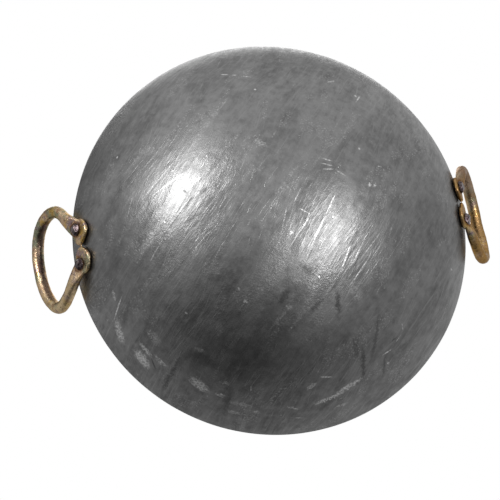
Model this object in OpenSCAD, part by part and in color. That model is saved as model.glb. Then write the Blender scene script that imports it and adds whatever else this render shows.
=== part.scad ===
// Round-bottomed iron kadai: one thin domed bowl and two forged ring handles, riveted on.
// Millimetres. The bowl stands on its round bottom at the origin, with its mouth up (+Z).
// The handles lie along X: the left one at -X, the right one at +X.

/* [Bowl] */
// Diameter over the outside of the rim
rim_d = 300; // [250:5:350]
// Depth from the rim to the outside of the round bottom
bowl_depth = 102; // [88:1:120]
// Thickness of the iron wall
wall_t = 3; // [2:0.1:4.5]
// Chamfer ground on both edges of the rim
rim_chamfer = 0.5; // [0.2:0.1:0.8]

/* [Handles] */
// Diameter of the round rod that a handle is forged from
rod_d = 8.4; // [7:0.1:10]
// Diameter of the ring over the outside of the rod
ring_outer_d = 78.6; // [70:0.2:88]
// Distance from the line of the rivets up to the centre of the ring
ring_rise = 32.6; // [29:0.2:38]
// Lean of the ring towards the bowl, from the tangent of the wall at the rivets
ring_lean = 2; // [0:0.5:5]
// Gap between the rod and the tangent of the wall at the rivets
ring_gap = 0.3; // [0.2:0.1:1.5]
// Angle from the lowest point of the ring to where the rod begins to flatten
neck_angle = 52; // [46:1:60]
// Turn of the left handle round the bowl, away from the -X axis
left_turn = 1.8; // [-3:0.1:3]
// Turn of the right handle round the bowl, away from the +X axis
right_turn = -1.3; // [-3:0.1:3]
// Twist of the left handle in the plane of its ring
left_twist = 2; // [-8:0.5:8]
// Twist of the right handle in the plane of its ring
right_twist = -6.5; // [-8:0.5:8]

/* [Paddles] */
// Diameter of the round paddle hammered at each end of the rod
paddle_d = 19.6; // [17:0.2:20.4]
// Thickness of a paddle
paddle_t = 3.2; // [2.4:0.1:4.2]
// Distance from the rivet down to the centre of its paddle
paddle_drop = 3; // [0:0.2:4]
// Distance from the rivet to the centre of its paddle, towards the other paddle
paddle_inset = 2.2; // [0:0.2:2.4]
// Chamfer round both faces of a paddle
paddle_chamfer = 0.6; // [0.2:0.1:1]
// Width of the rod halfway along its flattened neck
neck_w = 12; // [9:0.2:15]
// Thickness of the rod halfway along its flattened neck
neck_t = 6; // [4.6:0.1:7]

/* [Rivets] */
// Distance between the two rivets of a handle, along the wall
rivet_spacing = 25.6; // [25:0.2:28]
// Distance from the rim down to the rivets, along the wall
rivet_below_rim = 15.2; // [14:0.2:22]
// Diameter of a rivet's shank
shank_d = 6; // [4.5:0.1:7.5]
// Clearance round the shank, on the radius
shank_clearance = 0.1; // [0.05:0.01:0.2]
// Diameter of the peened head on the paddle
head_d = 9.8; // [8.6:0.2:11.8]
// Height of the peened head
head_h = 3.2; // [2.4:0.1:4.4]
// Chamfer round the top of the peened head
head_chamfer = 0.9; // [0.4:0.1:1.5]
// Clearance round the peened head, where it is sunk into the neck of its paddle
spot_clearance = 0.3; // [0.1:0.1:0.6]
// Diameter of the factory head inside the bowl
inner_head_d = 11.4; // [9.6:0.2:14]
// Height of the factory head
inner_head_h = 1.8; // [1.2:0.1:3]
// Chamfer round the factory head
inner_head_chamfer = 0.7; // [0.3:0.1:1]
// Clearance between a piece and the curved wall that it is riveted to
seat_clearance = 0.12; // [0.05:0.01:0.3]

/* [Hidden] */
$fn = 96;
bowl_fn = 240;
blend_fn = 32;
// How far a tool that cuts a hole or an edge runs past the metal
cut_over = 2;
// How far the blended neck stays inside the solids that it joins
blend_inset = 0.05;
iron_colour = "#5e5f61";
handle_colour = "#a08a5c";
rivet_colour = "#4a3b3e";

// The wall is part of one sphere, with its lowest point at the origin
rim_r = rim_d / 2;
outer_r = (rim_r * rim_r + bowl_depth * bowl_depth) / (2 * bowl_depth);
inner_r = outer_r - wall_t;
centre_z = outer_r;
rim_inner_r = sqrt(inner_r * inner_r - (centre_z - bowl_depth) * (centre_z - bowl_depth));

// Slope of the wall from the vertical, at the rim and at the rivets
rim_slope = asin((outer_r - bowl_depth) / outer_r);
rivet_slope = rim_slope + rivet_below_rim / outer_r * 180 / PI;
// Turn of each rivet about the sphere's centre, from the middle of its handle
rivet_turn = rivet_spacing / 2 / outer_r * 180 / PI;

ring_r = (ring_outer_d - rod_d) / 2;
ring_lift = rod_d / 2 + ring_gap;
paddle_face = outer_r + seat_clearance;
head_seat = paddle_face + paddle_t;
// Middle of the neck: its angle on the ring, and its place from the rivet
neck_middle = neck_angle * 0.72;
neck_side = ring_r * sin(neck_middle) - rivet_spacing / 2;
neck_up = ring_rise - ring_r * cos(neck_middle);
neck_turn = atan2(neck_side, -neck_up);
// Distance from the rivet's axis at which its paddle starts to rise into the neck
neck_start = head_d * 0.28;
// The flat factory head touches the hollow wall only at its edge
inner_head_r = inner_head_d / 2;
inner_head_seat = sqrt(inner_r * inner_r - inner_head_r * inner_head_r) - seat_clearance;

// Place of a handle: the sphere's centre, with X out through the middle of its two rivets,
// Y along the rim and Z up along the wall
module at_handle(turn, twist) {
    translate([0, 0, centre_z])
        rotate([0, 0, turn])
            rotate([0, rivet_slope, 0])
                rotate([twist, 0, 0])
                    children();
}

// Place of one rivet of a handle: Z runs out along its axis, from the sphere's centre
module at_rivet(side) {
    rotate([0, 0, side * rivet_turn])
        rotate([0, 90, 0])
            children();
}

// Place of the ring: its centre, with Z along its axis and X towards its lowest point
module at_ring() {
    translate([outer_r, 0, 0])
        rotate([0, -ring_lean, 0])
            translate([ring_lift, 0, ring_rise])
                rotate([0, 90, 0])
                    children();
}

// Holes for the shanks of both rivets of a handle
module rivet_holes() {
    for (side = [-1, 1]) {
        at_rivet(side)
            translate([0, 0, inner_r - cut_over])
                cylinder(d = shank_d + 2 * shank_clearance, h = head_seat - inner_r + 2 * cut_over);
    }
}

// Flat seats for both peened heads, cut where the necks rise past them
module head_seats() {
    for (side = [-1, 1]) {
        at_rivet(side)
            translate([0, 0, head_seat])
                cylinder(d = head_d + 2 * spot_clearance, h = rod_d);
    }
}

// Section of the bowl: the wall between two arcs, cut flat at the rim
module bowl_section() {
    intersection() {
        difference() {
            circle(r = outer_r, $fn = bowl_fn);
            circle(r = inner_r, $fn = bowl_fn);
        }
        translate([0, -centre_z])
            square([rim_r + cut_over, bowl_depth]);
    }
}

// Chamfers on the inner and outer edges of the rim
module rim_chamfers() {
    translate([0, 0, bowl_depth])
        rotate_extrude($fn = bowl_fn)
            union() {
                polygon([
                    [rim_inner_r - cut_over, cut_over],
                    [rim_inner_r - cut_over, -rim_chamfer - cut_over],
                    [rim_inner_r + rim_chamfer + cut_over, cut_over]
                ]);
                polygon([
                    [rim_r + cut_over, cut_over],
                    [rim_r - rim_chamfer - cut_over, cut_over],
                    [rim_r + cut_over, -rim_chamfer - cut_over]
                ]);
            }
}

module bowl() {
    color(iron_colour)
        difference() {
            translate([0, 0, centre_z])
                rotate_extrude($fn = bowl_fn)
                    bowl_section();
            rim_chamfers();
            at_handle(180 + left_turn, left_twist)
                rivet_holes();
            at_handle(right_turn, right_twist)
                rivet_holes();
        }
}

// Flat round paddle with chamfered edges, in the place of its rivet
module paddle(side, d, t, chamfer) {
    r = d / 2;
    translate([paddle_drop, -side * paddle_inset, paddle_face + (paddle_t - t) / 2])
        rotate_extrude()
            polygon([
                [0, 0],
                [r - chamfer, 0],
                [r, chamfer],
                [r, t - chamfer],
                [r - chamfer, t],
                [0, t]
            ]);
}

// Thin slice across the rod at an angle from the lowest point of the ring
module rod_slice(angle, across, thick) {
    rotate([0, 0, angle])
        translate([ring_r, 0, 0])
            rotate([90, 0, 0])
                scale([across, thick, 1])
                    cylinder(d = 1, h = blend_inset, center = true, $fn = blend_fn);
}

// The part of a paddle that lies past its rivet, on the side of the neck
module paddle_root(side) {
    intersection() {
        paddle(side, paddle_d - 2 * blend_inset, paddle_t - 2 * blend_inset, paddle_chamfer, $fn = blend_fn);
        rotate([0, 0, side * neck_turn])
            translate([neck_start, -paddle_d, paddle_face - cut_over])
                cube([paddle_d, 2 * paddle_d, paddle_t + 2 * cut_over]);
    }
}

// Neck on one side: the rod widens and thins from the ring down to its paddle
module neck(side) {
    hull() {
        at_ring()
            rod_slice(side * (neck_angle + 2), rod_d - 4 * blend_inset, rod_d - 4 * blend_inset);
        at_ring()
            rod_slice(side * neck_middle, neck_w, neck_t);
    }
    hull() {
        at_ring()
            rod_slice(side * neck_middle, neck_w, neck_t);
        at_rivet(side)
            paddle_root(side);
    }
}

module handle(turn, twist) {
    color(handle_colour)
        at_handle(turn, twist)
            difference() {
                union() {
                    at_ring()
                        rotate([0, 0, neck_angle])
                            rotate_extrude(angle = 360 - 2 * neck_angle)
                                translate([ring_r, 0])
                                    circle(d = rod_d);
                    for (side = [-1, 1]) {
                        neck(side);
                        at_rivet(side)
                            paddle(side, paddle_d, paddle_t, paddle_chamfer);
                    }
                }
                rivet_holes();
                head_seats();
            }
}

// Rivet: factory head inside the bowl, shank through wall and paddle, peened head outside
module rivet(turn, twist, side) {
    color(rivet_colour)
        at_handle(turn, twist)
            at_rivet(side)
                rotate_extrude()
                    polygon([
                        [0, inner_head_seat - inner_head_h],
                        [inner_head_r - inner_head_chamfer, inner_head_seat - inner_head_h],
                        [inner_head_r, inner_head_seat - inner_head_h + inner_head_chamfer],
                        [inner_head_r, inner_head_seat],
                        [shank_d / 2, inner_head_seat],
                        [shank_d / 2, head_seat],
                        [head_d / 2, head_seat],
                        [head_d / 2, head_seat + head_h - head_chamfer],
                        [head_d / 2 - head_chamfer, head_seat + head_h],
                        [0, head_seat + head_h]
                    ]);
}

module handle_left() { handle(180 + left_turn, left_twist); }
module handle_right() { handle(right_turn, right_twist); }
module rivet_left_front() { rivet(180 + left_turn, left_twist, 1); }
module rivet_left_rear() { rivet(180 + left_turn, left_twist, -1); }
module rivet_right_front() { rivet(right_turn, right_twist, -1); }
module rivet_right_rear() { rivet(right_turn, right_twist, 1); }

bowl();
handle_left();
handle_right();
rivet_left_front();
rivet_left_rear();
rivet_right_front();
rivet_right_rear();
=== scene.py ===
"""Iron kadai: a thin round-bottomed bowl with two forged ring handles, riveted on.

Metres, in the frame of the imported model: the bowl stands on its round bottom at the origin,
mouth up, with a handle at each end of X.
"""
import math

import bmesh
import bpy
from mathutils import Euler, Matrix, Vector, noise


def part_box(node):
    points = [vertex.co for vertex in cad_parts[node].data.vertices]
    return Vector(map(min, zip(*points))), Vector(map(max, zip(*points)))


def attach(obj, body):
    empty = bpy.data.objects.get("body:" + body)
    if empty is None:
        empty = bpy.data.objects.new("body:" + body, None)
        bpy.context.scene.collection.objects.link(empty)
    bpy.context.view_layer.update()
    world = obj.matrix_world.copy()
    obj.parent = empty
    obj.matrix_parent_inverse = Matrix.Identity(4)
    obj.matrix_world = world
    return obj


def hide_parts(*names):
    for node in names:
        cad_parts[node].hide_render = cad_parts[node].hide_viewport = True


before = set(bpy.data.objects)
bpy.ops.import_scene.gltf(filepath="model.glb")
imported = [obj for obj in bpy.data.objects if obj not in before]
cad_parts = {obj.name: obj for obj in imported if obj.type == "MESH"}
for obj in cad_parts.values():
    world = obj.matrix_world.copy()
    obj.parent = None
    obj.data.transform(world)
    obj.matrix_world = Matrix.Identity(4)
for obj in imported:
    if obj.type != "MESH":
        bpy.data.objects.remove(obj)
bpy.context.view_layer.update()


# The view
# The photograph looks at the outside of the kadai from below, with the round bottom towards
# the camera. The floor is seen from above only, so that it doesn't hide the kadai here.
CAMERA_PLACE = (-0.1645, 0.1759, -0.7654)
CAMERA_TURN = (-168.011, 7.789, 8.611)
CAMERA_LENS = 85.98
PHOTO_PIXELS = 500
SENSOR = 36.0


def placed(name, data):
    """A new object in the scene, made of a camera, a mesh or a lamp."""
    piece = bpy.data.objects.new(name, data)
    bpy.context.collection.objects.link(piece)
    return piece


camera_data = bpy.data.cameras.new("view")
camera_data.sensor_width = SENSOR
camera_data.lens = CAMERA_LENS
camera = placed("view", camera_data)
camera.location = CAMERA_PLACE
camera.rotation_euler = Euler([math.radians(angle) for angle in CAMERA_TURN], "XYZ")
bpy.context.scene.camera = camera
bpy.context.scene.view_settings.view_transform = "Standard"


# The bowl
# One sheet of iron, drawn to part of a sphere and beaten true. Outside and inside are ground
# and burnished by hand in long straight strokes, which leave a grey satin metal with fine
# bright scratches, small nicks and darker patches. The rim is cut flat and its edges broken.
RIM_RADIUS = 0.150
BOWL_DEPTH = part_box("bowl")[1][2]
WALL = 0.003
EDGE_ROUND = 0.0005
BOWL_RADIUS = (RIM_RADIUS ** 2 + BOWL_DEPTH ** 2) / (2 * BOWL_DEPTH)
BOWL_SIDES = 320
BOWL_ROWS = 84
DENT_DEPTH = 0.00016
DENT_WIDTH = 0.020
DENT_SEED = 3.1

IRON_MID = "#7f7f7f"
IRON_DARK = "#666666"
IRON_LIGHT = "#8e8e8e"
IRON_STAIN = "#505050"
IRON_BRIGHT = "#c4c4c4"
# An oxide skin keeps the edges, which are seen at a flat angle, from mirroring like bare iron
OXIDE_TINT = "#d2d2d2"
# Clouds and pitted patches lie along the strokes: turn in degrees about Z, length over width
DRAWN_TURN = -49.0
DRAWN_LENGTH = 2.4
# How far, in metres, the strokes wander at most from a straight line, both sides together
STROKE_WANDER = 0.016
# One line for each size of stroke: width in mm, length over width, turn in degrees about Z,
# the part of its noise that counts, its height in mm and how much it lightens the iron. Single
# scratches are too fine to show, so the narrowest strokes are drawn a millimetre wide
STROKES = [
    (7.0, 3.0, -52.0, 0.40, 0.72, 0.065, 0.30),
    (3.2, 5.0, -47.0, 0.45, 0.72, 0.055, 0.28),
    (1.6, 9.0, -51.0, 0.50, 0.72, 0.034, 0.15),
    (1.1, 16.0, -55.0, 0.48, 0.70, 0.015, 0.10),
    (1.7, 20.0, -46.0, 0.63, 0.68, 0.035, 0.40),
    (1.7, 14.0, -62.0, 0.65, 0.69, 0.035, 0.40),
]
# Roughness that each size of stroke takes off
STROKE_SMOOTHS = 0.04
# Heights in mm: soft lumps, the grain, what it gains in pitted patches, their mean, and nicks
LUMP_HEIGHT = 0.17
GRAIN_HEIGHT = 0.06
PITTED_HEIGHT = 0.11
MEAN_HEIGHT = 0.18
NICK_DEPTH = 0.08
# Wear that is seen on this kadai, pale and then dark: the two ends of each mark in pixels of
# the photograph, its width in mm and its strength
SCUFFS = [
    (221, 74.5, 228, 74.5, 1.5, 1.0), (231, 75, 236, 75, 1.3, 0.8), (243, 76, 251, 77, 1.4, 0.8),
    (328, 82, 334, 81, 1.7, 0.9), (356, 102, 360, 96, 1.1, 1.0), (113, 291, 115, 301, 3.0, 0.5),
    (122, 296, 114, 320, 1.4, 0.9), (117, 322, 122, 342, 8.0, 0.6), (137, 352, 147, 365, 10.0, 0.75),
    (140, 343, 152, 358, 3.0, 0.7), (155, 356, 166, 366, 3.5, 0.6), (192, 379, 206, 390, 9.0, 0.8),
    (215, 394, 224, 396, 2.8, 0.7), (230, 402, 250, 406, 5.0, 0.3), (316, 404, 345, 391, 4.2, 0.75),
    (338, 392, 361, 379, 4.8, 0.75), (321, 377, 332, 377, 1.5, 1.0), (307, 389, 316, 384, 3.2, 0.6),
    (287, 407, 298, 409, 2.2, 0.5), (295, 418, 304, 418, 1.1, 0.6), (383, 355, 392, 349, 1.4, 0.9),
    (369, 185, 371, 185, 2.4, 1.0), (374, 185, 376, 185, 2.4, 1.0), (377, 167, 380, 166, 2.0, 0.8),
    (255, 140, 266, 145, 4.5, 0.35), (307, 307, 288, 332, 3.0, 0.22), (288, 308, 273, 328, 3.0, 0.28),
    (322, 158, 332, 161, 1.0, 0.8), (321, 163, 334, 166, 1.0, 0.8), (323, 169, 333, 169, 1.0, 0.7),
    (336, 170, 346, 176, 1.2, 0.4), (290, 231, 292, 233, 2.0, 0.9), (187, 171, 152, 196, 1.0, 0.6),
    (336, 193, 327, 212, 1.2, 0.8), (327, 212, 312, 244, 1.1, 0.7), (350, 246, 342, 268, 1.2, 0.8),
    (362, 244, 350, 268, 1.0, 0.7), (371, 254, 348, 288, 1.1, 0.8), (382, 230, 358, 262, 1.0, 0.5),
    (310, 216, 293, 242, 1.0, 0.6), (299, 208, 310, 214, 0.9, 0.7), (287, 206, 282, 230, 1.0, 0.6),
    (352, 287, 361, 299, 9.0, 0.22), (150, 262, 163, 238, 1.1, 0.5), (139, 204, 160, 178, 1.0, 0.5),
    (206, 232, 190, 262, 5.0, 0.22), (160, 222, 136, 262, 6.0, 0.25), (226, 100, 190, 150, 6.0, 0.18),
    (396, 342, 401, 335, 1.0, 0.6), (402, 323, 403, 331, 0.9, 0.6), (387, 362, 389, 364, 1.8, 0.6),
    (185, 312, 187, 314, 1.6, 0.8), (238, 288, 240, 290, 1.8, 0.8), (244, 299, 247, 302, 3.0, 0.6),
    (251, 386, 251, 391, 1.0, 0.8), (220, 382, 229, 384, 2.2, 0.5), (196, 349, 204, 351, 3.0, 0.35),
    (286, 306, 290, 308, 4.0, 0.5), (228, 411, 240, 414, 4.0, 0.35), (252, 411, 260, 413, 2.5, 0.5),
    (150, 332, 158, 344, 9.0, 0.25), (157, 361, 163, 364, 3.0, 0.5), (334, 408, 348, 403, 2.6, 0.35),
]
STAINS = [
    (337, 291, 339, 314, 4.0, 0.8), (363, 345, 363, 381, 3.4, 0.75), (379, 312, 371, 360, 3.0, 0.6),
    (325, 297, 311, 311, 4.5, 0.6), (290, 288, 279, 304, 5.0, 0.6), (353, 338, 358, 358, 3.5, 0.5),
    (385, 355, 383, 377, 3.0, 0.6), (181, 357, 161, 392, 4.0, 0.75), (232, 392, 222, 416, 3.5, 0.5),
    (130, 300, 122, 330, 5.0, 0.35), (190, 352, 216, 366, 10.0, 0.5), (205, 300, 186, 330, 6.0, 0.35),
    (176, 214, 182, 205, 0.9, 1.0), (188, 203, 193, 197, 0.9, 0.9), (199, 193, 208, 187, 3.0, 0.8),
    (352, 248, 343, 270, 0.9, 0.9), (364, 246, 352, 270, 0.9, 0.8), (314, 246, 306, 262, 1.0, 0.7),
    (318, 222, 308, 242, 0.9, 0.6), (300, 264, 312, 276, 4.0, 0.6), (246, 262, 226, 300, 6.0, 0.3),
    (392, 342, 397, 337, 2.2, 0.9), (151, 358, 156, 370, 1.6, 0.8), (183, 190, 187, 193, 1.6, 0.9),
]
# The place in the left highlight that is polished smoother than the rest, given as a mark is,
# with how much lighter its iron is painted there, as a painted highlight, and how much of the height it
# loses
POLISH_AND_PAINTED_HIGHLIGHT = (168, 213, 190, 175, 12.0, 0.9)
PAINTED_HIGHLIGHT_SHINE = 0.15
POLISH_LEVELS = 0.85
# Marks thinner than this, in mm, keep straight sides
THIN_MARK = 2.0
# In metres: how far the sides of the others wander at most, from one side to the other, and
# how far a mark reaches above and below the surface
MARK_RAG = 0.007
MARK_REACH = 0.003


def linear(hex_colour):
    """Turns an sRGB hex colour into the linear colour that a shader takes."""
    parts = [int(hex_colour[i:i + 2], 16) / 255 for i in (1, 3, 5)]
    parts = [c / 12.92 if c <= 0.04045 else ((c + 0.055) / 1.055) ** 2.4 for c in parts]
    return (*parts, 1.0)


def per_metre(size_mm):
    """Scale of a pattern on metres whose features are that many millimetres across."""
    return 1000.0 / size_mm


def add(tree, kind, inputs=None, **settings):
    """Adds a node. An input is a value, or a node or a socket that gets linked to it."""
    node = tree.nodes.new(kind)
    for name, value in settings.items():
        setattr(node, name, value)
    for name, value in (inputs or {}).items():
        if isinstance(value, bpy.types.Node):
            value = next(socket for socket in value.outputs if socket.enabled)
        if isinstance(value, bpy.types.NodeSocket):
            tree.links.new(value, node.inputs[name])
        else:
            node.inputs[name].default_value = value
    return node


def sight_of(pixel):
    """Direction in which the camera looks at a pixel of the photograph."""
    half = PHOTO_PIXELS / 2
    focus = CAMERA_LENS / SENSOR * PHOTO_PIXELS
    turn = camera.rotation_euler.to_matrix()
    return (turn @ Vector(((pixel[0] - half) / focus, (half - pixel[1]) / focus, -1))).normalized()


def touched_at(pixel):
    """The point on the outside of the bowl that is seen at a pixel of the photograph."""
    look = sight_of(pixel)
    start = Vector(CAMERA_PLACE) - Vector((0, 0, BOWL_RADIUS))
    near = -start.dot(look) - math.sqrt(start.dot(look) ** 2 - start.length_squared
                                        + BOWL_RADIUS ** 2)
    return Vector(CAMERA_PLACE) + look * near


def new_material(name):
    """An empty material and its node tree."""
    material = bpy.data.materials.new(name)
    material.use_nodes = True
    material.node_tree.nodes.clear()
    return material, material.node_tree


def burnished_iron():
    """Sheet iron, ground and burnished by hand: a satin graphite grey, cloudy at 3 to 30 mm,
    with long strokes that only show where a lamp is mirrored, fine grain and bright nicks."""
    material, tree = new_material("burnished_iron")
    place = add(tree, "ShaderNodeTexCoord").outputs["Object"]
    # Hand strokes are never quite straight, so their pattern is bent a little
    bend = add(tree, "ShaderNodeTexNoise", {"Vector": place, "Scale": per_metre(70), "Detail": 1.0})
    bend = add(tree, "ShaderNodeVectorMath", {0: bend.outputs["Color"], 1: (0.5, 0.5, 0.5)},
               operation="SUBTRACT")
    bend = add(tree, "ShaderNodeVectorMath", {0: bend, "Scale": STROKE_WANDER}, operation="SCALE")
    bent = add(tree, "ShaderNodeVectorMath", {0: place, 1: bend}, operation="ADD")

    drawn = add(tree, "ShaderNodeMapping", {
        "Vector": bent, "Rotation": (0, 0, math.radians(DRAWN_TURN)),
        "Scale": (DRAWN_LENGTH, 1, DRAWN_LENGTH),
    }, vector_type="TEXTURE")
    clouds = add(tree, "ShaderNodeTexNoise", {
        "Vector": drawn, "Scale": per_metre(22), "Detail": 3.0, "Roughness": 0.55})
    mottle = add(tree, "ShaderNodeTexNoise", {
        "Vector": place, "Scale": per_metre(6), "Detail": 5.0, "Roughness": 0.66})
    pitted = add(tree, "ShaderNodeTexNoise", {
        "Vector": drawn, "Scale": per_metre(15), "Detail": 2.0, "Distortion": 0.6})
    pitted = add(tree, "ShaderNodeMapRange", {"Value": pitted, "From Min": 0.48, "From Max": 0.60})
    grain = add(tree, "ShaderNodeTexNoise", {
        "Vector": place, "Scale": per_metre(1.3), "Detail": 3.0, "Roughness": 0.65})

    specks = add(tree, "ShaderNodeMath", {0: grain, 1: pitted}, operation="MULTIPLY")
    # Each line: a pattern, where it starts and is full, its strength and colour
    layers = [
        (clouds, 0.36, 0.64, 1.0, IRON_MID), (mottle, 0.50, 0.68, 0.48, IRON_LIGHT),
        (mottle, 0.50, 0.32, 0.45, IRON_STAIN), (specks, 0.54, 0.66, 0.45, IRON_BRIGHT),
    ]
    colour = linear(IRON_DARK)
    for pattern, low, high, strength, hex_colour in layers:
        tone = add(tree, "ShaderNodeMapRange", {
            "Value": pattern, "From Min": low, "From Max": high, "To Max": strength})
        colour = add(tree, "ShaderNodeMix", {0: tone, 6: colour, 7: linear(hex_colour)},
                     data_type="RGBA")

    # Marks that are seen on this kadai are soft streaks, each from one end to the other
    ragged = add(tree, "ShaderNodeTexNoise", {
        "Vector": place, "Scale": per_metre(2.4), "Detail": 3.0, "Roughness": 0.7})
    ragged = add(tree, "ShaderNodeVectorMath", {0: ragged.outputs["Color"], 1: (0.5, 0.5, 0.5)},
                 operation="SUBTRACT")
    ragged = add(tree, "ShaderNodeVectorMath", {0: ragged, "Scale": MARK_RAG}, operation="SCALE")
    ragged = add(tree, "ShaderNodeVectorMath", {0: place, 1: ragged}, operation="ADD")

    def streak(left, top, right, bottom, width_mm, strength):
        """Full within half of a long flat ball between the two ends, and fading past it."""
        half_width = width_mm / 2000
        ends = [touched_at((left, top)), touched_at((right, bottom))]
        middle = (ends[0] + ends[1]) / 2
        ahead = ends[1] - ends[0]
        out = (middle - Vector((0, 0, BOWL_RADIUS))).normalized()
        across = out.cross(ahead).normalized()
        turn = Matrix((ahead.normalized(), across, out)).transposed().to_euler()
        size = (ahead.length / 2 + half_width / 2, half_width, MARK_REACH)
        near = add(tree, "ShaderNodeMapping", {
            "Vector": place if width_mm < THIN_MARK else ragged, "Location": middle,
            "Rotation": turn, "Scale": size}, vector_type="TEXTURE")
        near = add(tree, "ShaderNodeVectorMath", {0: near}, operation="LENGTH").outputs["Value"]
        return add(tree, "ShaderNodeMapRange", {
            "Value": near, "From Min": 1.15, "From Max": 0.5, "To Max": strength})

    polish_and_highlight = streak(*POLISH_AND_PAINTED_HIGHLIGHT)
    # Painted highlight: the iron is lightened here, so that the left highlight has a white core
    tone = add(tree, "ShaderNodeMath", {0: polish_and_highlight, 1: PAINTED_HIGHLIGHT_SHINE}, operation="MULTIPLY")
    colour = add(tree, "ShaderNodeMix", {0: tone, 6: colour, 7: linear(IRON_BRIGHT)}, data_type="RGBA")
    # Height in millimetres about a mean of nought: soft lumps, grain that is coarser in the
    # pitted patches, then the strokes
    height = add(tree, "ShaderNodeMath", {0: mottle, 1: LUMP_HEIGHT, 2: -MEAN_HEIGHT},
                 operation="MULTIPLY_ADD")
    rise = add(tree, "ShaderNodeMath", {0: pitted, 1: PITTED_HEIGHT, 2: GRAIN_HEIGHT},
               operation="MULTIPLY_ADD")
    height = add(tree, "ShaderNodeMath", {0: grain, 1: rise, 2: height}, operation="MULTIPLY_ADD")
    rough = add(tree, "ShaderNodeMapRange", {
        "Value": clouds, "From Min": 0.3, "From Max": 0.7, "To Min": 0.38, "To Max": 0.44})
    for width_mm, length, turn, low, high, rise_mm, shine in STROKES:
        along = add(tree, "ShaderNodeMapping", {
            "Vector": bent, "Rotation": (0, 0, math.radians(turn)), "Scale": (length, 1, length),
        }, vector_type="TEXTURE")
        stroke = add(tree, "ShaderNodeTexNoise", {
            "Vector": along, "Scale": per_metre(width_mm), "Detail": 2.0})
        stroke = add(tree, "ShaderNodeMapRange", {"Value": stroke, "From Min": low, "From Max": high})
        height = add(tree, "ShaderNodeMath", {0: stroke, 1: rise_mm, 2: height},
                     operation="MULTIPLY_ADD")
        rough = add(tree, "ShaderNodeMath", {0: stroke, 1: -STROKE_SMOOTHS, 2: rough},
                    operation="MULTIPLY_ADD")
        tone = add(tree, "ShaderNodeMath", {0: stroke, 1: shine}, operation="MULTIPLY")
        colour = add(tree, "ShaderNodeMix", {0: tone, 6: colour, 7: linear(IRON_LIGHT)},
                     data_type="RGBA")
    unpolished = add(tree, "ShaderNodeMath", {0: polish_and_highlight, 1: -POLISH_LEVELS, 2: 1.0},
                     operation="MULTIPLY_ADD")
    height = add(tree, "ShaderNodeMath", {0: height, 1: unpolished}, operation="MULTIPLY")

    # Nicks: bright dents a millimetre or two across, in one cell out of ten
    cells = add(tree, "ShaderNodeTexVoronoi", {"Vector": bent, "Scale": per_metre(11)})
    nick = add(tree, "ShaderNodeMapRange", {
        "Value": cells.outputs["Distance"], "From Min": 0.10, "From Max": 0.05})
    chosen = add(tree, "ShaderNodeSeparateColor", {0: cells.outputs["Color"]})
    chosen = add(tree, "ShaderNodeMath", {0: chosen, 1: 0.90}, operation="GREATER_THAN")
    nick = add(tree, "ShaderNodeMath", {0: nick, 1: chosen}, operation="MULTIPLY")
    height = add(tree, "ShaderNodeMath", {0: nick, 1: -NICK_DEPTH, 2: height},
                 operation="MULTIPLY_ADD")

    # The scuffs and stains stay out of the height, because Blender would work out each of
    # their many nodes three times more for it
    marks = {}
    for kind, lines in (("scuff", SCUFFS), ("stain", STAINS)):
        mark = 0.0
        for line in lines:
            mark = add(tree, "ShaderNodeMath", {0: streak(*line), 1: mark}, operation="MAXIMUM")
        marks[kind] = mark
    colour = add(tree, "ShaderNodeMix", {0: marks["stain"], 6: colour, 7: linear(IRON_STAIN)},
                 data_type="RGBA")
    spots = add(tree, "ShaderNodeMapRange", {
        "Value": grain, "From Min": 0.44, "From Max": 0.60, "To Min": 0.3, "To Max": 1.9})
    bright = add(tree, "ShaderNodeMath", {0: spots, 1: marks["scuff"]}, operation="MULTIPLY")
    bright = add(tree, "ShaderNodeMath", {0: nick, 1: bright}, operation="MAXIMUM")
    colour = add(tree, "ShaderNodeMix", {0: bright, 6: colour, 7: linear(IRON_BRIGHT)},
                 data_type="RGBA")

    bump = add(tree, "ShaderNodeBump", {"Height": height, "Distance": 0.001})
    shader = add(tree, "ShaderNodeBsdfPrincipled", {
        "Base Color": colour, "Roughness": rough, "Metallic": 1.0, "Normal": bump,
        "Specular Tint": linear(OXIDE_TINT)})
    add(tree, "ShaderNodeOutputMaterial", {"Surface": shader})
    return material


def bowl_outline():
    """Radius and height from the outside of the bottom, over the rim, to the inside."""
    centre = BOWL_RADIUS
    inner = BOWL_RADIUS - WALL

    def arc(radius, low, high, steps):
        """Points on a circle round the sphere's centre, between two angles from the bottom."""
        return [(radius * math.sin(low + (high - low) * i / steps),
                 centre - radius * math.cos(low + (high - low) * i / steps)) for i in range(steps + 1)]

    def angle_at(radius, height):
        """Angle from the bottom at which that circle reaches a height."""
        return math.acos((centre - height) / radius)

    below = BOWL_DEPTH - EDGE_ROUND
    outside = arc(BOWL_RADIUS, 0.0, angle_at(BOWL_RADIUS, below), BOWL_ROWS)
    inside = arc(inner, angle_at(inner, below), 0.0, BOWL_ROWS)
    out_r, in_r = outside[-1][0], inside[0][0]
    # The middle of a quarter round stands this far in from the corner
    soft = EDGE_ROUND * 0.3
    rim = [
        (out_r - soft, BOWL_DEPTH - soft),
        (out_r - EDGE_ROUND, BOWL_DEPTH),
        ((out_r + in_r) / 2, BOWL_DEPTH),
        (in_r + EDGE_ROUND, BOWL_DEPTH),
        (in_r + soft, BOWL_DEPTH - soft),
    ]
    return outside + rim + inside


def piece_of(name, mesh):
    """Makes an object in the scene of a built mesh."""
    bmesh.ops.recalc_face_normals(mesh, faces=mesh.faces)
    data = bpy.data.meshes.new(name)
    mesh.to_mesh(data)
    mesh.free()
    return placed(name, data)


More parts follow.
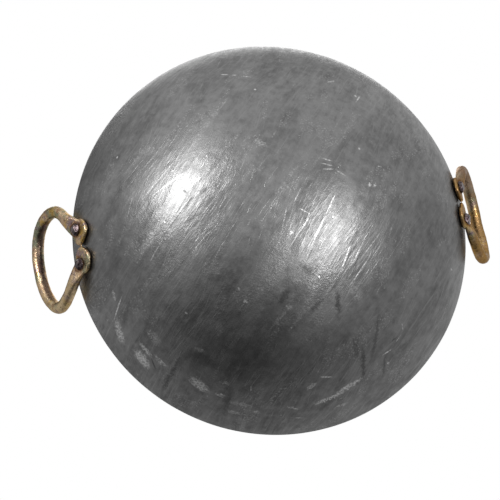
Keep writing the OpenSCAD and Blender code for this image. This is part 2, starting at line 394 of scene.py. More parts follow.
def lathe(name, outline, sides):
    """Turns an outline that starts and ends on the Z axis into a closed mesh."""
    mesh = bmesh.new()
    first = mesh.verts.new((0, 0, outline[0][1]))
    last = mesh.verts.new((0, 0, outline[-1][1]))
    rows = []
    for radius, height in outline[1:-1]:
        rows.append([mesh.verts.new((radius * math.cos(2 * math.pi * i / sides),
                                     radius * math.sin(2 * math.pi * i / sides), height))
                     for i in range(sides)])
    for i in range(sides):
        j = (i + 1) % sides
        mesh.faces.new((first, rows[0][j], rows[0][i]))
        for low, high in zip(rows, rows[1:]):
            mesh.faces.new((low[i], low[j], high[j], high[i]))
        mesh.faces.new((rows[-1][i], rows[-1][j], last))
    for face in mesh.faces:
        face.smooth = True
    return piece_of(name, mesh)


def beat(piece, depth, width, seed):
    """Pushes each point in along its normal by a soft noise, as a hammer leaves a surface."""
    shift = Vector((seed, seed * 1.7, seed * 2.3))
    normals = [vertex.normal.copy() for vertex in piece.data.vertices]
    for vertex, normal in zip(piece.data.vertices, normals):
        vertex.co += normal * depth * (noise.noise(vertex.co / width + shift) - 1) / 2
    piece.data.update()


bowl = lathe("bowl_shell", bowl_outline(), BOWL_SIDES)
beat(bowl, DENT_DEPTH, DENT_WIDTH, DENT_SEED)
iron = burnished_iron()
bowl.data.materials.append(iron)
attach(bowl, "root")
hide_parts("bowl")


# The handles
# Each is one round steel rod, bent by hand to a ring that is never quite round. Both ends are
# drawn down flat and hammered to round paddles, which lie on the wall below the rim. The
# yellow plating is worn: gold on the crests, brown, green and violet where it has tarnished.
ROD = 0.0084
RING_CENTRE_UP = 0.0326
RING_LIFT = ROD / 2 + 0.0003
RING_LEAN = math.radians(2)
RIVET_BELOW_RIM = 0.0152
RIVET_SPACING = 0.0256
PADDLE_RADIUS = 0.0098
PADDLE_THICK = 0.0032
PADDLE_DROP = 0.0030
PADDLE_INSET = 0.0022
PADDLE_BEVEL = PADDLE_THICK * 0.28
# Clearance of the paddles and of the inner heads from the wall
SEAT = 0.00012
# Degrees from a ring's lowest point at which its rod becomes the neck, and between two points
NECK_START = 56
ROD_STEP = 3
# A neck leaves the ring and meets the paddle straight for these shares of its length. Towards
# the paddle half its width grows by this share of the rod, quickly at first, and it is as thin
# as the paddle a little before it ends
STRAIGHT_AT_RING = 0.45
STRAIGHT_AT_PADDLE = 0.4
NECK_SPREAD = 0.41
SPREAD_POWER = 0.7
THIN_EARLY = 1.12
# How much squarer than round the rod is hammered where it is thin
SQUARED = 1.6
NECK_STEPS = 9
ROD_SIDES = 20
PADDLE_SIDES = 48
# Blunt corners of the two paddles: angle in degrees from the rim's direction and how far each
# stands out in mm; it thins out over an angle in radians to each side
PADDLE_CORNERS = {1: [(190, 0.9), (262, 1.0), (230, -0.8)],
                  -1: [(-12, 0.9), (-68, 1.1), (-40, -0.7)]}
CORNER_WIDTH = 0.75
# Radius of the left and the right ring in millimetres, at degrees from the lowest point that
# are counted towards Y of the handle's place
BENT_RING = [(56, 32.8), (82, 35.4), (113, 37.3), (135, 38.0), (157, 36.1), (186, 33.6),
             (213, 33.2), (238, 34.9), (264, 37.4), (290, 34.6), (304, 33.4)]
ROUND_RING = [(56, 34.4), (90, 35.8), (120, 36.6), (150, 35.4), (180, 34.6), (220, 35.3),
              (260, 35.6), (304, 34.8)]
# How far each sways out of its plane, in millimetres at angles counted in the same way
LEFT_SWAY = [(56, 0.0), (120, 0.4), (180, 0.2), (230, 0.4), (304, 0.0)]
RIGHT_SWAY = [(56, 0.0), (90, 1.2), (120, 1.9), (150, 1.3), (180, 0.0), (304, 0.0)]
# The hand-drawn rod is this much thicker than its nominal size all round; its outside stays.
# Along the ring's axis it is so only away from the wall: by this share at such angles
RING_SWELL = 0.0006
SWELL_SHARE = [(60, 0), (100, 1), (260, 1), (300, 0)]
BLANK_VOXEL = 0.0004
# Hammer marks: depth and width in metres, and what is added to the seed of the handle
HAMMER_MARKS = [(0.00030, 0.0075, 0), (0.00022, 0.0030, 5)]
# Dirt lies round a point under each rivet's head, this far from the wall, out to a distance
# at which it has thinned out
DIRT_LIFT = 0.003
DIRT_REACH = 0.0085
DIRT_FADE = 0.0030
# Height over which the painted shade inside the ring grows, about the ring's centre
INNER_SHADE_RISE = 0.030
# The left handle is paler at its end towards positive Y: by this times X times Y in metres
PALER_END = -200.0
# Heights of the plating's pits and grain, in parts of the bump's metres
PIT_DEPTH = 0.6
PLATE_GRAIN = 0.8
PLATE_BUMP = 0.00015

PLATE_TAN = "#c6ae8a"
PLATE_PEACH = "#c6a98d"
PLATE_GOLD = "#bd9c56"
PLATE_BRONZE = "#9d7a4a"
PLATE_MAUVE = "#7f6d66"
PLATE_BROWN = "#6b4a35"
# Dark violet brown of the painted shade inside the rings
PLATE_INNER_SHADE = "#54433f"
PLATE_ROSE = "#9a6a58"
PLATE_GREEN = "#8a8f78"
PLATE_VIOLET = "#8f7c82"
PLATE_PALE = "#d6c19c"
PLATE_DARK = "#261d1c"
PLATE_TINT = "#b9b0a6"

rim_slope = math.asin((BOWL_RADIUS - BOWL_DEPTH) / BOWL_RADIUS)
rivet_slope = rim_slope + RIVET_BELOW_RIM / BOWL_RADIUS
rivet_turn = RIVET_SPACING / 2 / BOWL_RADIUS
# With each handle's other facts stands how strong the painted shade inside its ring is
HANDLES = {
    "left": {"turn": math.radians(181.8), "twist": math.radians(2), "bends": BENT_RING,
             "sways": LEFT_SWAY, "inner_shade": 1.0, "seed": 1.3},
    "right": {"turn": math.radians(-1.3), "twist": math.radians(-6.5), "bends": ROUND_RING,
              "sways": RIGHT_SWAY, "inner_shade": 0.45, "seed": 7.9},
}


def handle_place(turn, twist):
    """X runs out through the middle of the two rivets, Y along the rim and Z up the wall."""
    return (Matrix.Translation((0, 0, BOWL_RADIUS)) @ Matrix.Rotation(turn, 4, "Z")
            @ Matrix.Rotation(rivet_slope, 4, "Y") @ Matrix.Rotation(twist, 4, "X"))


def ring_place():
    """Centre of the ring, in the place of its handle: X along the ring's axis, Z up."""
    return (Matrix.Translation((BOWL_RADIUS, 0, 0)) @ Matrix.Rotation(-RING_LEAN, 4, "Y")
            @ Matrix.Translation((RING_LIFT, 0, RING_CENTRE_UP)))


def smooth_between(knots, value):
    """A smooth curve through the knots (Catmull-Rom), level past its ends."""
    xs = [knot[0] for knot in knots]
    ys = [knot[1] for knot in knots]
    if value <= xs[0]:
        return ys[0]
    if value >= xs[-1]:
        return ys[-1]
    i = max(k for k in range(len(xs) - 1) if xs[k] <= value)
    before, after = max(i - 1, 0), min(i + 2, len(xs) - 1)
    span = xs[i + 1] - xs[i]
    t = (value - xs[i]) / span
    start = (ys[i + 1] - ys[before]) / (xs[i + 1] - xs[before]) * span
    end = (ys[after] - ys[i]) / (xs[after] - xs[i]) * span
    return ((2 * t ** 3 - 3 * t ** 2 + 1) * ys[i] + (t ** 3 - 2 * t ** 2 + t) * start
            + (3 * t ** 2 - 2 * t ** 3) * ys[i + 1] + (t ** 3 - t ** 2) * end)


def paddle_seat(side):
    """Middle of a paddle, in the place of its handle, and how it is turned there."""
    place = Matrix.Rotation(side * rivet_turn, 4, "Z")
    centre = place @ Vector((BOWL_RADIUS + SEAT + PADDLE_THICK / 2, -side * PADDLE_INSET,
                             -PADDLE_DROP))
    return centre, place.to_3x3()


def neck(end, before, side):
    """From the end of the ring's rod on a curve to the middle of a paddle."""
    paddle, turned = paddle_seat(side)
    out = turned @ Vector((1, 0, 0))
    ring_out = ring_place().to_3x3() @ Vector((1, 0, 0))
    along = (end - before).normalized()
    reach = (paddle - end).length
    bend_one = end + along * reach * STRAIGHT_AT_RING
    bend_two = paddle + (end - paddle).normalized() * reach * STRAIGHT_AT_PADDLE
    points = []
    for k in range(1, NECK_STEPS + 1):
        t = k / NECK_STEPS
        middle = ((1 - t) ** 3 * end + 3 * (1 - t) ** 2 * t * bend_one
                  + 3 * (1 - t) * t ** 2 * bend_two + t ** 3 * paddle)
        ease = t * t * (3 - 2 * t)
        wide = ROD / 2 + RING_SWELL + (ROD * NECK_SPREAD - RING_SWELL) * ease ** SPREAD_POWER
        thick = ROD / 2 + (PADDLE_THICK / 2 - ROD / 2) * min(1.0, ease * THIN_EARLY)
        points.append((middle, wide, thick, ring_out.lerp(out, ease).normalized()))
    return points


def rod_line(bends, sways):
    """Points of the rod's middle, with the half width, half thickness and flat direction."""
    ring = ring_place()
    line = []
    for degrees in range(NECK_START, 360 - NECK_START + 1, ROD_STEP):
        angle = math.radians(degrees)
        radius = smooth_between(bends, degrees) / 1000 - RING_SWELL
        middle = ring @ Vector((smooth_between(sways, degrees) / 1000,
                                radius * math.sin(angle), -radius * math.cos(angle)))
        swell = RING_SWELL * smooth_between(SWELL_SHARE, degrees)
        line.append((middle, ROD / 2 + RING_SWELL, ROD / 2 + swell,
                     ring.to_3x3() @ Vector((1, 0, 0))))
    first = neck(line[0][0], line[1][0], 1)
    last = neck(line[-1][0], line[-2][0], -1)
    return first[::-1] + line + last


def skin(mesh, rows):
    """Faces between rows of points that go round a solid, and over both of its ends."""
    for low, high in zip(rows, rows[1:]):
        for i in range(len(low)):
            j = (i + 1) % len(low)
            mesh.faces.new((low[i], low[j], high[j], high[i]))
    mesh.faces.new(rows[0][::-1])
    mesh.faces.new(rows[-1])


def add_rod(mesh, line):
    """The rod along its line, round where it is as thick as it is wide."""
    rows = []
    for k, (middle, wide, thick, out) in enumerate(line):
        ahead = line[min(k + 1, len(line) - 1)][0] - line[max(k - 1, 0)][0]
        across = ahead.cross(out).normalized()
        out = across.cross(ahead).normalized()
        square = 2.0 + SQUARED * (1 - thick / wide)
        row = []
        for i in range(ROD_SIDES):
            a = 2 * math.pi * i / ROD_SIDES
            c, s = math.cos(a), math.sin(a)
            row.append(mesh.verts.new(
                middle + across * wide * math.copysign(abs(c) ** (2 / square), c)
                + out * thick * math.copysign(abs(s) ** (2 / square), s)))
        rows.append(row)
    skin(mesh, rows)


def add_paddle(mesh, side):
    """One round paddle with bevelled edges and blunt corners."""
    centre, turned = paddle_seat(side)
    out = turned @ Vector((1, 0, 0))
    across = turned @ Vector((0, 1, 0))
    up = Vector((0, 0, 1))
    half = PADDLE_THICK / 2
    rows = []
    for height, inset in [(-half, PADDLE_BEVEL), (-half + PADDLE_BEVEL, 0.0),
                          (half - PADDLE_BEVEL, 0.0), (half, PADDLE_BEVEL)]:
        row = []
        for i in range(PADDLE_SIDES):
            a = 2 * math.pi * i / PADDLE_SIDES
            r = PADDLE_RADIUS - inset
            for corner, rise in PADDLE_CORNERS[side]:
                off = (a - math.radians(corner) + math.pi) % (2 * math.pi) - math.pi
                r += rise / 1000 * max(0.0, 1 - abs(off) / CORNER_WIDTH)
            row.append(mesh.verts.new(centre + across * r * math.cos(a) + up * r * math.sin(a)
                                      + out * height))
        rows.append(row)
    skin(mesh, rows)


def blank(name, bends, sways):
    """The rod and its two paddles as overlapping solids, before they are forged into one."""
    mesh = bmesh.new()
    add_rod(mesh, rod_line(bends, sways))
    for side in (-1, 1):
        add_paddle(mesh, side)
    return piece_of(name, mesh)


def finished(piece):
    """Replaces a piece's mesh by what its modifiers make of it, and takes them off."""
    bpy.context.view_layer.update()
    graph = bpy.context.evaluated_depsgraph_get()
    made = bpy.data.meshes.new_from_object(piece.evaluated_get(graph))
    piece.modifiers.clear()
    piece.data = made
    for polygon in piece.data.polygons:
        polygon.use_smooth = True
    return piece


def plated_steel():
    """Mild steel with yellow zinc plating, forged, hammered and worn: tan and gold with green,
    violet and brown tarnish at 2 to 17 mm, dark pits, and bright edges where it is rubbed."""
    material, tree = new_material("worn_yellow_zinc_plated_steel")
    place = add(tree, "ShaderNodeTexCoord").outputs["Object"]
    # Each line: size of the patches in mm, where they start and are full, strength and colour
    patches = [
        (17, 0.45, 0.58, 0.9, PLATE_PEACH), (14, 0.48, 0.58, 0.95, PLATE_GREEN),
        (11, 0.52, 0.62, 0.9, PLATE_GOLD), (8, 0.56, 0.65, 0.7, PLATE_ROSE),
        (7, 0.54, 0.62, 0.9, PLATE_VIOLET), (5, 0.58, 0.68, 0.65, PLATE_BROWN),
        (2.0, 0.54, 0.66, 0.5, PLATE_PALE),
    ]
    colour = linear(PLATE_TAN)
    for size_mm, low, high, strength, hex_colour in patches:
        moved = add(tree, "ShaderNodeVectorMath", {0: place, 1: (0.1 * size_mm, 0.03, 0.07)},
                    operation="ADD")
        patch = add(tree, "ShaderNodeTexNoise", {
            "Vector": moved, "Scale": per_metre(size_mm), "Detail": 4.0, "Roughness": 0.6})
        patch = add(tree, "ShaderNodeMapRange", {
            "Value": patch, "From Min": low, "From Max": high, "To Max": strength})
        colour = add(tree, "ShaderNodeMix", {0: patch, 6: colour, 7: linear(hex_colour)},
                     data_type="RGBA")
    # The right handle, at positive X, is browner and more golden than the left one, and grey
    # at its end towards negative Y; the left one is paler at its end towards positive Y
    axes = add(tree, "ShaderNodeSeparateXYZ", {0: place}).outputs
    side = add(tree, "ShaderNodeMapRange", {"Value": axes["X"], "From Max": 0.1, "To Max": 0.85})
    grey = add(tree, "ShaderNodeMapRange", {
        "Value": axes["Y"], "From Min": -0.016, "From Max": -0.030, "To Max": 0.9})
    grey = add(tree, "ShaderNodeMath", {0: grey, 1: side}, operation="MULTIPLY")
    paler = add(tree, "ShaderNodeMath", {0: axes["X"], 1: PALER_END}, operation="MULTIPLY")
    paler = add(tree, "ShaderNodeMath", {0: axes["Y"], 1: paler}, operation="MULTIPLY")
    paler = add(tree, "ShaderNodeMapRange", {
        "Value": paler, "From Min": 0.0, "From Max": 0.9, "To Max": 0.40})
    warm = add(tree, "ShaderNodeTexNoise", {"Vector": place, "Scale": per_metre(24)})
    warm = add(tree, "ShaderNodeMapRange", {"Value": warm, "From Min": 0.32, "From Max": 0.48})
    warm = add(tree, "ShaderNodeMath", {0: warm, 1: side}, operation="MULTIPLY")
    # Painted shade: darker inside the ring, where it faces its middle on its upper side
    inside = add(tree, "ShaderNodeAttribute", attribute_name="ring_inner_shade").outputs["Fac"]
    stain = add(tree, "ShaderNodeTexNoise", {
        "Vector": place, "Scale": per_metre(6), "Detail": 4.0, "Roughness": 0.6})
    inside = add(tree, "ShaderNodeMath", {0: inside, 1: stain}, operation="ADD")
    inside = add(tree, "ShaderNodeMapRange", {
        "Value": inside, "From Min": 1.14, "From Max": 1.42, "To Max": 0.85})
    # Dirt round the rivets and in pits about 1 mm wide, and darker in the hollows; rubbed edges are
    # pale
    pits = add(tree, "ShaderNodeTexNoise", {
        "Vector": place, "Scale": per_metre(1.5), "Detail": 3.0, "Roughness": 0.7})
    dirt = add(tree, "ShaderNodeAttribute", attribute_name="rivet_dirt").outputs["Fac"]
    dirt = add(tree, "ShaderNodeMath", {0: dirt, 1: pits, 2: 0.0}, operation="MULTIPLY_ADD")
    dirt = add(tree, "ShaderNodeMapRange", {"Value": dirt, "From Min": 0.25, "From Max": 0.5,
                                            "To Max": 0.85})
    bend = add(tree, "ShaderNodeNewGeometry").outputs["Pointiness"]
    crest = add(tree, "ShaderNodeMapRange", {
        "Value": bend, "From Min": 0.53, "From Max": 0.60, "To Max": 0.75})
    hollow = add(tree, "ShaderNodeMapRange", {
        "Value": bend, "From Min": 0.48, "From Max": 0.42, "To Max": 0.9})
    pit = add(tree, "ShaderNodeMapRange", {
        "Value": pits, "From Min": 0.58, "From Max": 0.66, "To Max": 0.7})
    dark = add(tree, "ShaderNodeMath", {0: hollow, 1: pit}, operation="MAXIMUM")
    layers = [
        (paler, PLATE_PALE), (warm, PLATE_BRONZE), (grey, PLATE_MAUVE), (inside, PLATE_INNER_SHADE),
        (dirt, PLATE_BROWN), (crest, PLATE_PALE), (dark, PLATE_DARK),
    ]
    for share, hex_colour in layers:
        colour = add(tree, "ShaderNodeMix", {0: share, 6: colour, 7: linear(hex_colour)},
                     data_type="RGBA")

    rough = add(tree, "ShaderNodeMapRange", {
        "Value": pits, "From Min": 0.3, "From Max": 0.7, "To Min": 0.20, "To Max": 0.42})
    # The smallest patches stand up and the pits go in, with a grain over all
    height = add(tree, "ShaderNodeMath", {0: pit, 1: -PIT_DEPTH, 2: patch},
                 operation="MULTIPLY_ADD")
    height = add(tree, "ShaderNodeMath", {0: pits, 1: PLATE_GRAIN, 2: height},
                 operation="MULTIPLY_ADD")
    bump = add(tree, "ShaderNodeBump", {"Height": height, "Distance": PLATE_BUMP})
    shader = add(tree, "ShaderNodeBsdfPrincipled", {
        "Base Color": colour, "Roughness": rough, "Metallic": 1.0, "Normal": bump,
        "Specular Tint": linear(PLATE_TINT)})
    add(tree, "ShaderNodeOutputMaterial", {"Surface": shader})
    return material


def mark_dirt_and_shade(piece, inner_shade):
    """Stores how near each point of a handle is to a rivet, where dirt collects, and how far
    it faces the middle of the ring on the ring's upper side, where shade is painted."""
    dirt = piece.data.attributes.new("rivet_dirt", "FLOAT", "POINT")
    inside = piece.data.attributes.new("ring_inner_shade", "FLOAT", "POINT")
    centres = [Matrix.Rotation(side * rivet_turn, 4, "Z") @ Vector((BOWL_RADIUS + DIRT_LIFT, 0, 0))
               for side in (-1, 1)]
    middle = ring_place().translation
    for vertex, near, shaded in zip(piece.data.vertices, dirt.data, inside.data):
        away = min((vertex.co - centre).length for centre in centres)
        near.value = max(0.0, min(1.0, (DIRT_REACH - away) / DIRT_FADE))
        upper = max(0.0, min(1.0, (vertex.co.z - middle.z) / INNER_SHADE_RISE + 0.5))
        facing = vertex.normal.dot((middle - vertex.co).normalized())
        shaded.value = inner_shade * upper * max(0.0, facing)


plating = plated_steel()
for side_name, facts in HANDLES.items():
    ring = blank("ring_" + side_name, facts["bends"], facts["sways"])
    forge = ring.modifiers.new("forge", "REMESH")
    forge.mode = "VOXEL"
    forge.voxel_size = BLANK_VOXEL
    relax = ring.modifiers.new("relax", "SMOOTH")
    relax.factor = 0.5
    relax.iterations = 6
    finished(ring)
    for depth, width, shift in HAMMER_MARKS:
        beat(ring, depth, width, facts["seed"] + shift)
    mark_dirt_and_shade(ring, facts["inner_shade"])
    ring.data.transform(handle_place(facts["turn"], facts["twist"]))
    ring.data.update()
    ring.data.materials.append(plating)
    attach(ring, "root")
    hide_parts("handle_" + side_name)


# The rivets
# Four soft iron rivets. The factory head is inside the bowl; the other end is peened over the
# paddle cold, with many blows, so each outer head is a squat dark dome with its own facets.
HEAD_RADIUS = 0.0049
HEAD_HEIGHT = 0.0032
SHANK_RADIUS = 0.0030
INNER_HEAD_RADIUS = 0.0057
INNER_HEAD_HEIGHT = 0.0018
# Each head goes straight up for this share of its height before it domes
HEAD_FOOT = 0.12
INNER_HEAD_FOOT = 0.2
HEAD_STEPS = 26
INNER_HEAD_STEPS = 8
SHOULDER = 0.0001
RIVET_SIDES = 64
# Size and depth of the dimples, and the level of their noise below which they go in
DIMPLE_SIZE = 0.0022
DIMPLE_DEPTH = 0.0005
DIMPLE_LEVEL = 0.6
# Largest turn by chance of a rivet about its axis, in radians: nearly a full turn
LARGEST_SPIN = 6.28
# Flats that the hammer leaves on an outer head: tilt and turn in degrees, distance in mm from
# the middle of the head's seat
FLATS = [(12, 40, 2.85), (48, 10, 3.8), (58, 75, 4.3), (44, 150, 3.7), (62, 200, 4.2),
         (50, 255, 3.9), (66, 310, 4.4)]
# Where two flats meet at more than this, their edge stays sharp
FLAT_EDGE = math.radians(13)
RIVET_NODES = ["rivet_left_front", "rivet_left_rear", "rivet_right_front", "rivet_right_rear"]

RIVET_DARK = "#332a2c"
RIVET_MID = "#6b5f60"
# Colour of the bare edges between the flats, light enough to be a painted highlight too
RIVET_BARE_GLINT = "#968b88"


def rivet_outline():
    """Radius and distance from the sphere's centre, from the factory head out."""
    inner = BOWL_RADIUS - WALL
    seat_in = math.sqrt(inner ** 2 - INNER_HEAD_RADIUS ** 2) - SEAT
    seat_out = BOWL_RADIUS + SEAT + PADDLE_THICK
    outline = [(0, seat_in - INNER_HEAD_HEIGHT)]
    for k in range(1, INNER_HEAD_STEPS + 1):
        a = math.radians(90 * k / INNER_HEAD_STEPS)
        rise = INNER_HEAD_FOOT + (1 - INNER_HEAD_FOOT) * math.cos(a) ** 0.8
        outline.append((INNER_HEAD_RADIUS * math.sin(a) ** 0.7,
                        seat_in - INNER_HEAD_HEIGHT * rise))
    outline += [(INNER_HEAD_RADIUS, seat_in), (SHANK_RADIUS, seat_in + SHOULDER),
                (SHANK_RADIUS, seat_out - SHOULDER), (HEAD_RADIUS * 0.97, seat_out)]
    for k in range(HEAD_STEPS):
        a = math.radians(90 * k / HEAD_STEPS)
        rise = HEAD_FOOT + (1 - HEAD_FOOT) * math.sin(a) ** 0.9
        outline.append((HEAD_RADIUS * math.cos(a) ** 0.5, seat_out + HEAD_HEIGHT * rise))
    outline.append((0, seat_out + HEAD_HEIGHT))
    return outline


def hammer_flats(piece, seat):
    """Presses the flats into the outer head of the stock rivet."""
    for vertex in piece.data.vertices:
        if vertex.co.z < seat:
            continue
        for tilt, turn, away in FLATS:
            tilt, turn = math.radians(tilt), math.radians(turn)
            face = Vector((math.sin(tilt) * math.cos(turn), math.sin(tilt) * math.sin(turn),
                           math.cos(tilt)))
            over = (vertex.co - Vector((0, 0, seat))).dot(face) - away / 1000
            if over > 0:
                vertex.co -= face * over
    piece.data.update()
    piece.data.set_sharp_from_angle(angle=FLAT_EDGE)


def peened_rivets(stock, places, material):
    """One mesh of all rivets: the stock rivet on each place, turned and dented by chance."""
    seats = bpy.data.meshes.new("rivets")
    seats.from_pydata(places, [], [])
    piece = placed("rivets", seats)
    tree = bpy.data.node_groups.new("peened_rivets", "GeometryNodeTree")
    face = tree.interface
    face.new_socket("Geometry", in_out="INPUT", socket_type="NodeSocketGeometry")
    face.new_socket("Geometry", in_out="OUTPUT", socket_type="NodeSocketGeometry")
    values = {
        "Sphere centre": ("NodeSocketVector", (0.0, 0.0, BOWL_RADIUS)),
        "Dimple size": ("NodeSocketFloat", DIMPLE_SIZE),
        "Dimple depth": ("NodeSocketFloat", DIMPLE_DEPTH),
        "Head seat": ("NodeSocketFloat", BOWL_RADIUS + SEAT + PADDLE_THICK),
        "Seed": ("NodeSocketInt", 4),
    }
    names = {name: face.new_socket(name, in_out="INPUT", socket_type=kind).identifier
             for name, (kind, value) in values.items()}
    given = add(tree, "NodeGroupInput").outputs
    place = add(tree, "GeometryNodeInputPosition")
    out = add(tree, "ShaderNodeVectorMath", {0: place, 1: given["Sphere centre"]},
              operation="SUBTRACT")
    upright = add(tree, "FunctionNodeAlignRotationToVector", {"Vector": out}, axis="Z")
    shape = add(tree, "GeometryNodeObjectInfo", {"Object": stock}).outputs["Geometry"]
    rivets = add(tree, "GeometryNodeInstanceOnPoints", {
        "Points": given["Geometry"], "Instance": shape, "Rotation": upright})
    chance = add(tree, "FunctionNodeRandomValue", {
        2: 0.0, 3: LARGEST_SPIN, "Seed": given["Seed"]}, data_type="FLOAT")
    spin = add(tree, "ShaderNodeCombineXYZ", {"Z": chance.outputs[1]})
    rivets = add(tree, "GeometryNodeRotateInstances", {
        "Instances": rivets, "Rotation": spin, "Local Space": True})
    real = add(tree, "GeometryNodeRealizeInstances", {0: rivets})
    # Dimples on the outer heads only, none on the shanks and the factory heads
    scale = add(tree, "ShaderNodeMath", {0: 1.0, 1: given["Dimple size"]}, operation="DIVIDE")
    dimples = add(tree, "ShaderNodeTexNoise", {"Vector": place, "Scale": scale, "Detail": 1.0})
    blow = add(tree, "ShaderNodeMath", {0: dimples, 1: DIMPLE_LEVEL}, operation="SUBTRACT")
    blow = add(tree, "ShaderNodeMath", {0: blow, 1: given["Dimple depth"]}, operation="MULTIPLY")
    away = add(tree, "ShaderNodeVectorMath", {0: out}, operation="LENGTH").outputs["Value"]
    above = add(tree, "ShaderNodeMath", {0: away, 1: given["Head seat"]}, operation="SUBTRACT")
    on_head = add(tree, "ShaderNodeMapRange", {"Value": above, "From Max": HEAD_HEIGHT * 0.4})
    depth = add(tree, "ShaderNodeMath", {0: blow, 1: on_head}, operation="MULTIPLY")
    offset = add(tree, "ShaderNodeVectorMath", {
        0: add(tree, "GeometryNodeInputNormal"), "Scale": depth}, operation="SCALE")
    dented = add(tree, "GeometryNodeSetPosition", {"Geometry": real, "Offset": offset})
    coated = add(tree, "GeometryNodeSetMaterial", {"Geometry": dented, "Material": material})
    add(tree, "NodeGroupOutput", {0: coated})
    modifier = piece.modifiers.new("peen", "NODES")
    modifier.node_group = tree
    for name, (kind, value) in values.items():
        modifier[names[name]] = value
    return finished(piece)


def peened_iron():
    """Soft iron, peened cold and left oxidised: dark violet brown, bare on the edges between the
    flats, which are also painted lighter as a highlight, with a satin shine."""
    material, tree = new_material("peened_soft_iron")
    place = add(tree, "ShaderNodeTexCoord").outputs["Object"]
    grain = add(tree, "ShaderNodeTexNoise", {
        "Vector": place, "Scale": per_metre(2.2), "Detail": 4.0})
    tone = add(tree, "ShaderNodeMapRange", {"Value": grain, "From Min": 0.42, "From Max": 0.62})
    colour = add(tree, "ShaderNodeMix", {0: tone, 6: linear(RIVET_DARK), 7: linear(RIVET_MID)},
                 data_type="RGBA")
    bend = add(tree, "ShaderNodeNewGeometry").outputs["Pointiness"]
    # Bare wear on the edges between the flats, painted lighter there as a highlight too
    bare_edge_glint = add(tree, "ShaderNodeMapRange", {
        "Value": bend, "From Min": 0.52, "From Max": 0.60, "To Max": 0.7})
    colour = add(tree, "ShaderNodeMix", {0: bare_edge_glint, 6: colour, 7: linear(RIVET_BARE_GLINT)},
                 data_type="RGBA")
    bump = add(tree, "ShaderNodeBump", {"Height": grain, "Distance": 0.0002})
    shader = add(tree, "ShaderNodeBsdfPrincipled", {
        "Base Color": colour, "Roughness": 0.36, "Metallic": 1.0, "Normal": bump})
    add(tree, "ShaderNodeOutputMaterial", {"Surface": shader})
    return material


# The stock rivet stands on the sphere's centre, so that a place is only a direction
stock = lathe("stock_rivet", rivet_outline(), RIVET_SIDES)
hammer_flats(stock, BOWL_RADIUS + SEAT + PADDLE_THICK)
stock.data.transform(Matrix.Translation((0, 0, -BOWL_RADIUS)))
rivet_places = []
for facts in HANDLES.values():
    for side in (-1, 1):
        place = (handle_place(facts["turn"], facts["twist"])
                 @ Matrix.Rotation(side * rivet_turn, 4, "Z"))
        rivet_places.append(place @ Vector((BOWL_RADIUS, 0, 0)))
rivets = peened_rivets(stock, rivet_places, peened_iron())
bpy.data.objects.remove(stock)
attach(rivets, "root")
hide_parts(*RIVET_NODES)


# The studio
# A pale floor under the kadai, seen from above only. What metal mirrors gets darker towards
# the back and below, as a room does; two soft lamps make the two long highlights.
FLOOR_SIZE = 6.0
FLOOR_COLOUR = "#efefee"
# Each lamp's mirror image on the bowl runs from one pixel of the photograph to another. Then
# come its width in metres and its power in watts
LAMP_AWAY = 1.5
LEFT_LAMP = ((164, 217), (196, 165), 0.17, 11.0)
RIGHT_LAMP = ((315, 262), (341, 211), 0.26, 10.3)
TOP_LAMP_PLACE = Vector((0.15, -0.85, 1.9))
# Brightness of the room: in front of the kadai, at its back, and what matt surfaces get
ROOM_FRONT = 0.95
ROOM_BACK = 0.36
ROOM_MATT = 0.75
# Above: its brightness at the middle, and how it changes along X and Y
ROOM_ABOVE = 0.85
ABOVE_ALONG_X = 0.20
ABOVE_ALONG_Y = -0.38
# Darker and paler parts of the room: the pixel at which the bowl mirrors the middle of each,
# cosine of the angle at which it starts and at which it is full, and strength
ROOM_SPOTS = [
    ((238, 346), 0.66, 0.990, 0.19), ((160, 312), 0.88, 0.995, 0.72), ((316, 338), 0.90, 0.995, 0.68),
    ((85, 169), 0.88, 0.990, 0.32), ((112, 240), 0.90, 0.995, 0.58), ((434, 215), 0.93, 0.995, 0.66),
    ((252, 196), 0.93, 0.990, 1.60), ((262, 54), 0.90, 0.995, 0.74),
]


def floor_paint():
    """Matt pale paint on the upper face; the lower face lets the camera through."""
    material, tree = new_material("floor_paint")
    back = add(tree, "ShaderNodeNewGeometry").outputs["Backfacing"]
    face = add(tree, "ShaderNodeMixShader", {
        0: back,
        1: add(tree, "ShaderNodeBsdfDiffuse", {"Color": linear(FLOOR_COLOUR)}),
        2: add(tree, "ShaderNodeBsdfTransparent"),
    })
    add(tree, "ShaderNodeOutputMaterial", {"Surface": face})
    return material


floor_mesh = bpy.data.meshes.new("floor")
reach = FLOOR_SIZE / 2
floor_mesh.from_pydata([(-reach, -reach, 0), (reach, -reach, 0), (reach, reach, 0), (-reach, reach, 0)],
                       [], [(0, 1, 2, 3)])
floor = placed("floor", floor_mesh)
floor.data.materials.append(floor_paint())
floor.visible_shadow = False
floor.visible_glossy = False
floor.visible_diffuse = False
floor.visible_transmission = False


def mirrored_from(pixel):
    """Direction of what the bowl mirrors to the camera at a pixel of the photograph."""
    look = sight_of(pixel)
    normal = (touched_at(pixel) - Vector((0, 0, BOWL_RADIUS))).normalized()
    return look - 2 * look.dot(normal) * normal


world = bpy.data.worlds.new("studio")
bpy.context.scene.world = world
world.use_nodes = True
tree = world.node_tree
tree.nodes.clear()
ray = add(tree, "ShaderNodeLightPath").outputs
direction = add(tree, "ShaderNodeTexCoord").outputs["Generated"]
axes = add(tree, "ShaderNodeSeparateXYZ", {0: direction}).outputs
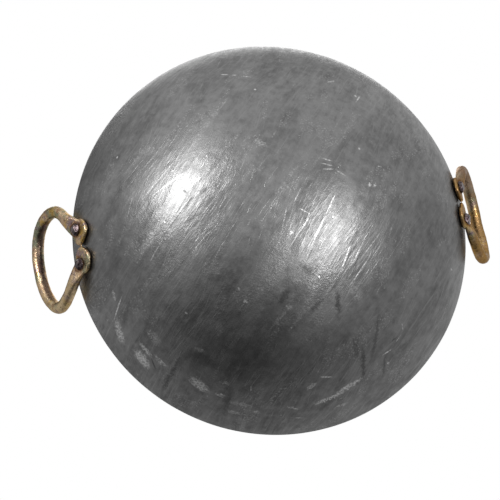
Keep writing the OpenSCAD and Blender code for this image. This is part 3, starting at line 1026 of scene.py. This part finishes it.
# The room that metal mirrors: pale in front, grey at the back, with its darker and paler parts
room = add(tree, "ShaderNodeMapRange", {
    "Value": axes["Y"], "From Min": -0.95, "From Max": 0.95,
    "To Min": ROOM_FRONT, "To Max": ROOM_BACK})
upper = add(tree, "ShaderNodeMath", {0: axes["X"], 1: ABOVE_ALONG_X, 2: ROOM_ABOVE},
            operation="MULTIPLY_ADD")
upper = add(tree, "ShaderNodeMath", {0: axes["Y"], 1: ABOVE_ALONG_Y, 2: upper},
            operation="MULTIPLY_ADD")
above = add(tree, "ShaderNodeMapRange", {"Value": axes["Z"], "From Min": 0.0, "From Max": 0.6})
mirrored = add(tree, "ShaderNodeMix", {0: above, 2: room, 3: upper}, data_type="FLOAT")
for pixel, first, full, strength in ROOM_SPOTS:
    near = add(tree, "ShaderNodeVectorMath", {0: direction, 1: mirrored_from(pixel)},
               operation="DOT_PRODUCT").outputs["Value"]
    near = add(tree, "ShaderNodeMapRange", {
        "Value": near, "From Min": first, "From Max": full, "To Min": 1.0, "To Max": strength,
    }, interpolation_type="SMOOTHSTEP")
    mirrored = add(tree, "ShaderNodeMath", {0: mirrored, 1: near}, operation="MULTIPLY")
level = add(tree, "ShaderNodeMix", {0: ray["Is Glossy Ray"], 2: ROOM_MATT, 3: mirrored},
            data_type="FLOAT")
# The camera itself sees white behind the kadai, as the photograph's ground is
white_rays = add(tree, "ShaderNodeMath", {0: ray["Is Camera Ray"], 1: ray["Is Transmission Ray"]},
                 operation="MAXIMUM")
level = add(tree, "ShaderNodeMix", {0: white_rays, 2: level, 3: 1.0}, data_type="FLOAT")
sky = add(tree, "ShaderNodeBackground", {"Color": (1, 1, 1, 1), "Strength": level})
add(tree, "ShaderNodeOutputWorld", {"Surface": sky})


def strip_lamp(name, first, last, width, power):
    """A soft lamp whose mirror image on the bowl runs from one pixel to another."""
    ends = [mirrored_from(first) * LAMP_AWAY, mirrored_from(last) * LAMP_AWAY]
    middle = (ends[0] + ends[1]) / 2
    along = ends[1] - ends[0]
    back = middle.normalized()
    side = along.cross(back).normalized()
    up = back.cross(side)
    data = bpy.data.lights.new(name, "AREA")
    data.shape = "RECTANGLE"
    data.size = width
    data.size_y = along.length
    data.energy = power
    lamp = placed(name, data)
    lamp.matrix_world = Matrix((
        (side.x, up.x, back.x, middle.x),
        (side.y, up.y, back.y, middle.y),
        (side.z, up.z, back.z, middle.z),
        (0, 0, 0, 1),
    ))


strip_lamp("lamp_left", *LEFT_LAMP)
strip_lamp("lamp_right", *RIGHT_LAMP)

top_light = bpy.data.lights.new("lamp_top", "AREA")
top_light.shape = "DISK"
top_light.size = 1.6
top_light.energy = 15.0
top_lamp = placed("lamp_top", top_light)
top_lamp.location = TOP_LAMP_PLACE
top_lamp.rotation_euler = (-TOP_LAMP_PLACE).to_track_quat("-Z", "Y").to_euler()
